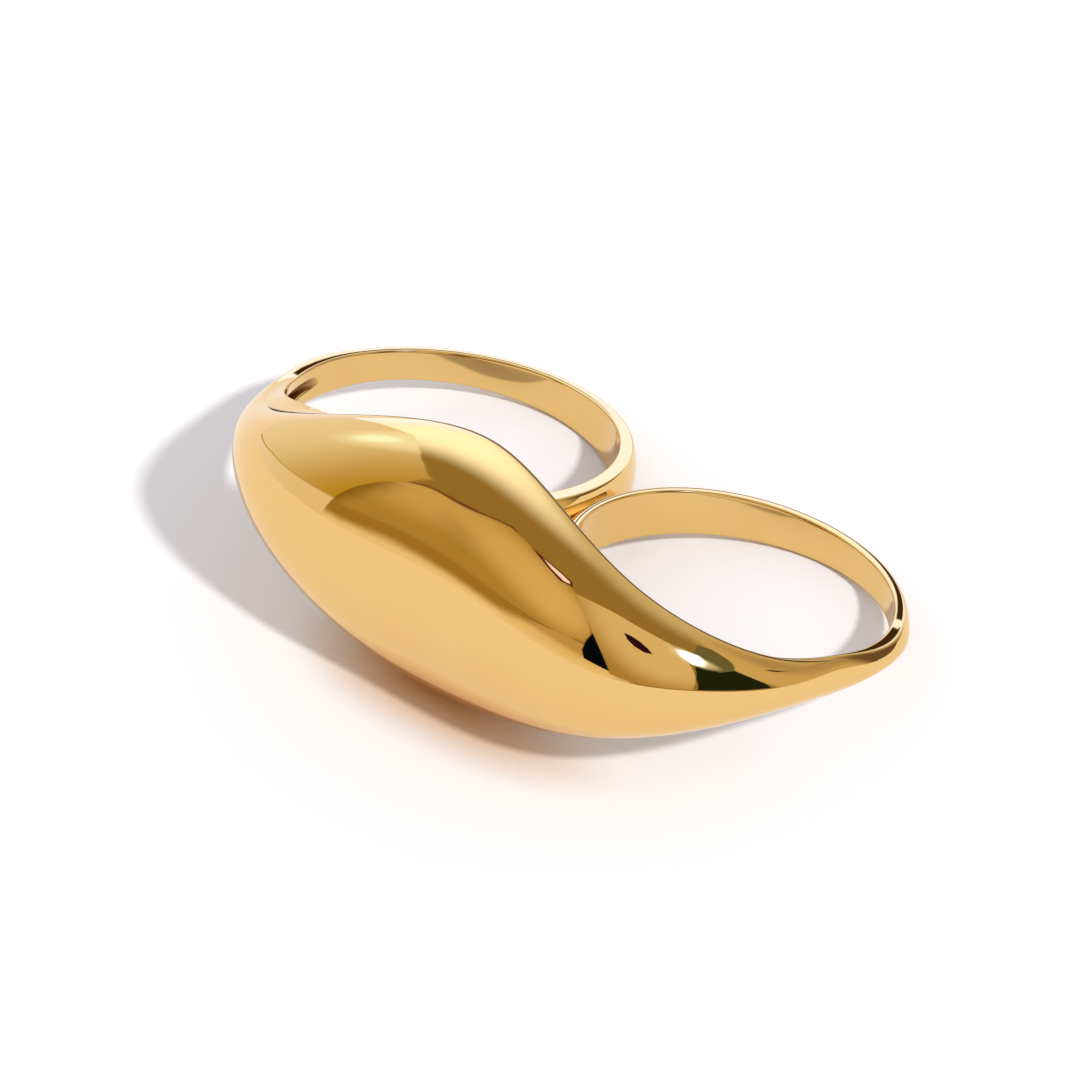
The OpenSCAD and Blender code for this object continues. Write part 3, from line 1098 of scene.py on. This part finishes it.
    def build_lamp(self) -> bpy.types.Object:
        """Hangs the key lamp, whose light grows with distance so that it falls evenly on the table.

        Returns:
            The lamp's object.
        """
        data = bpy.data.lights.new("key_lamp", "POINT")
        data.shadow_soft_size = self.lamp_radius * MM
        data.use_nodes = True
        tree = data.node_tree
        path = add_node(tree, "ShaderNodeLightPath")
        grown = add_node(tree, "ShaderNodeMath", {"operation": "MULTIPLY"}, {
            0: path.outputs["Ray Length"], 1: self.lamp_level / (self.lamp_place[2] * MM)})
        even = add_node(tree, "ShaderNodeLightFalloff", inputs={"Strength": grown.outputs[0]})
        tree.links.new(even.outputs["Constant"], tree.nodes["Emission"].inputs["Strength"])
        lamp = bpy.data.objects.new("key_lamp", data)
        lamp.location = Vector(self.lamp_place) * MM
        lamp.visible_glossy = False
        bpy.context.scene.collection.objects.link(lamp)
        return lamp

    def build_surroundings(self) -> bpy.types.World:
        """Paints the light that fills the shadow and the walls and lamps that the metal mirrors.

        Returns:
            The scene's world.
        """
        world = bpy.data.worlds.new("studio")
        world.use_nodes = True
        tree = world.node_tree
        tree.nodes.clear()
        ray = add_node(tree, "ShaderNodeTexCoord").outputs["Generated"]
        seen = lit(self.ceiling)
        for thing in self.things:
            seen = add_node(tree, "ShaderNodeMix", {"data_type": "RGBA"}, {
                0: thing.mask(tree, ray), 6: seen, 7: thing.light(tree, ray)}).outputs[2]
        mirrored = add_node(tree, "ShaderNodeBackground", inputs={"Color": seen})
        fill = add_node(tree, "ShaderNodeBackground", inputs={
            "Color": linear(self.ambient), "Strength": self.ambient_level})
        backdrop = add_node(tree, "ShaderNodeBackground", inputs={"Color": linear(self.backdrop)})
        kind = add_node(tree, "ShaderNodeLightPath")
        both = add_node(tree, "ShaderNodeMixShader", inputs={
            0: kind.outputs["Is Glossy Ray"],
            1: fill.outputs["Background"], 2: mirrored.outputs["Background"]})
        shown = add_node(tree, "ShaderNodeMixShader", inputs={
            0: kind.outputs["Is Camera Ray"],
            1: both.outputs["Shader"], 2: backdrop.outputs["Background"]})
        add_node(tree, "ShaderNodeOutputWorld", inputs={"Surface": shown.outputs["Shader"]})
        bpy.context.scene.world = world
        return world


@dataclass
class Viewpoint:
    """The camera, above the dome's right side and looking down at the ring."""

    place: tuple[float, float, float] = (72.502, -74.119, 96.809)
    right: tuple[float, float, float] = (0.75573, 0.65028, -0.07752)
    up: tuple[float, float, float] = (-0.39463, 0.54666, 0.73853)
    lens: float = 93.79
    sensor: float = 36.0
    # nearest and farthest distance that shows, in metres
    clip: tuple[float, float] = (0.01, 10.0)

    def build(self) -> bpy.types.Object:
        """Makes the camera and sets it as the scene's.

        Returns:
            The camera's object.
        """
        data = bpy.data.cameras.new("camera")
        data.lens, data.sensor_width, data.sensor_fit = self.lens, self.sensor, "HORIZONTAL"
        data.clip_start, data.clip_end = self.clip
        camera = bpy.data.objects.new("camera", data)
        right, up = Vector(self.right), Vector(self.up)
        turn = Matrix((right, up, right.cross(up))).transposed()
        camera.matrix_world = Matrix.Translation(Vector(self.place) * MM) @ turn.to_4x4()
        bpy.context.scene.collection.objects.link(camera)
        bpy.context.scene.camera = camera
        return camera


def as_list(box: tuple[Vector, Vector]) -> list[list[float]]:
    """A box as plain lists of numbers."""
    return [[float(value) for value in corner] for corner in box]


def main() -> None:
    """Builds the ring, dresses it, and sets the table, the light and the camera."""
    logging.basicConfig(level=logging.INFO, format="%(message)s")
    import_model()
    Viewpoint().build()
    ring = DoubleRing().build()
    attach(ring, "root")
    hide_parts("double_ring")
    LOG.info("%s: %d faces", ring.name, len(ring.data.polygons))
    visual_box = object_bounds()
    studio = Studio()
    studio.build_table(visual_box[0].z)
    studio.build_lamp()
    studio.build_surroundings()
    bpy.context.scene.view_settings.view_transform = "Standard"
    LOG.info("visual box %s", as_list(visual_box))


if __name__ == "__main__":
    main()
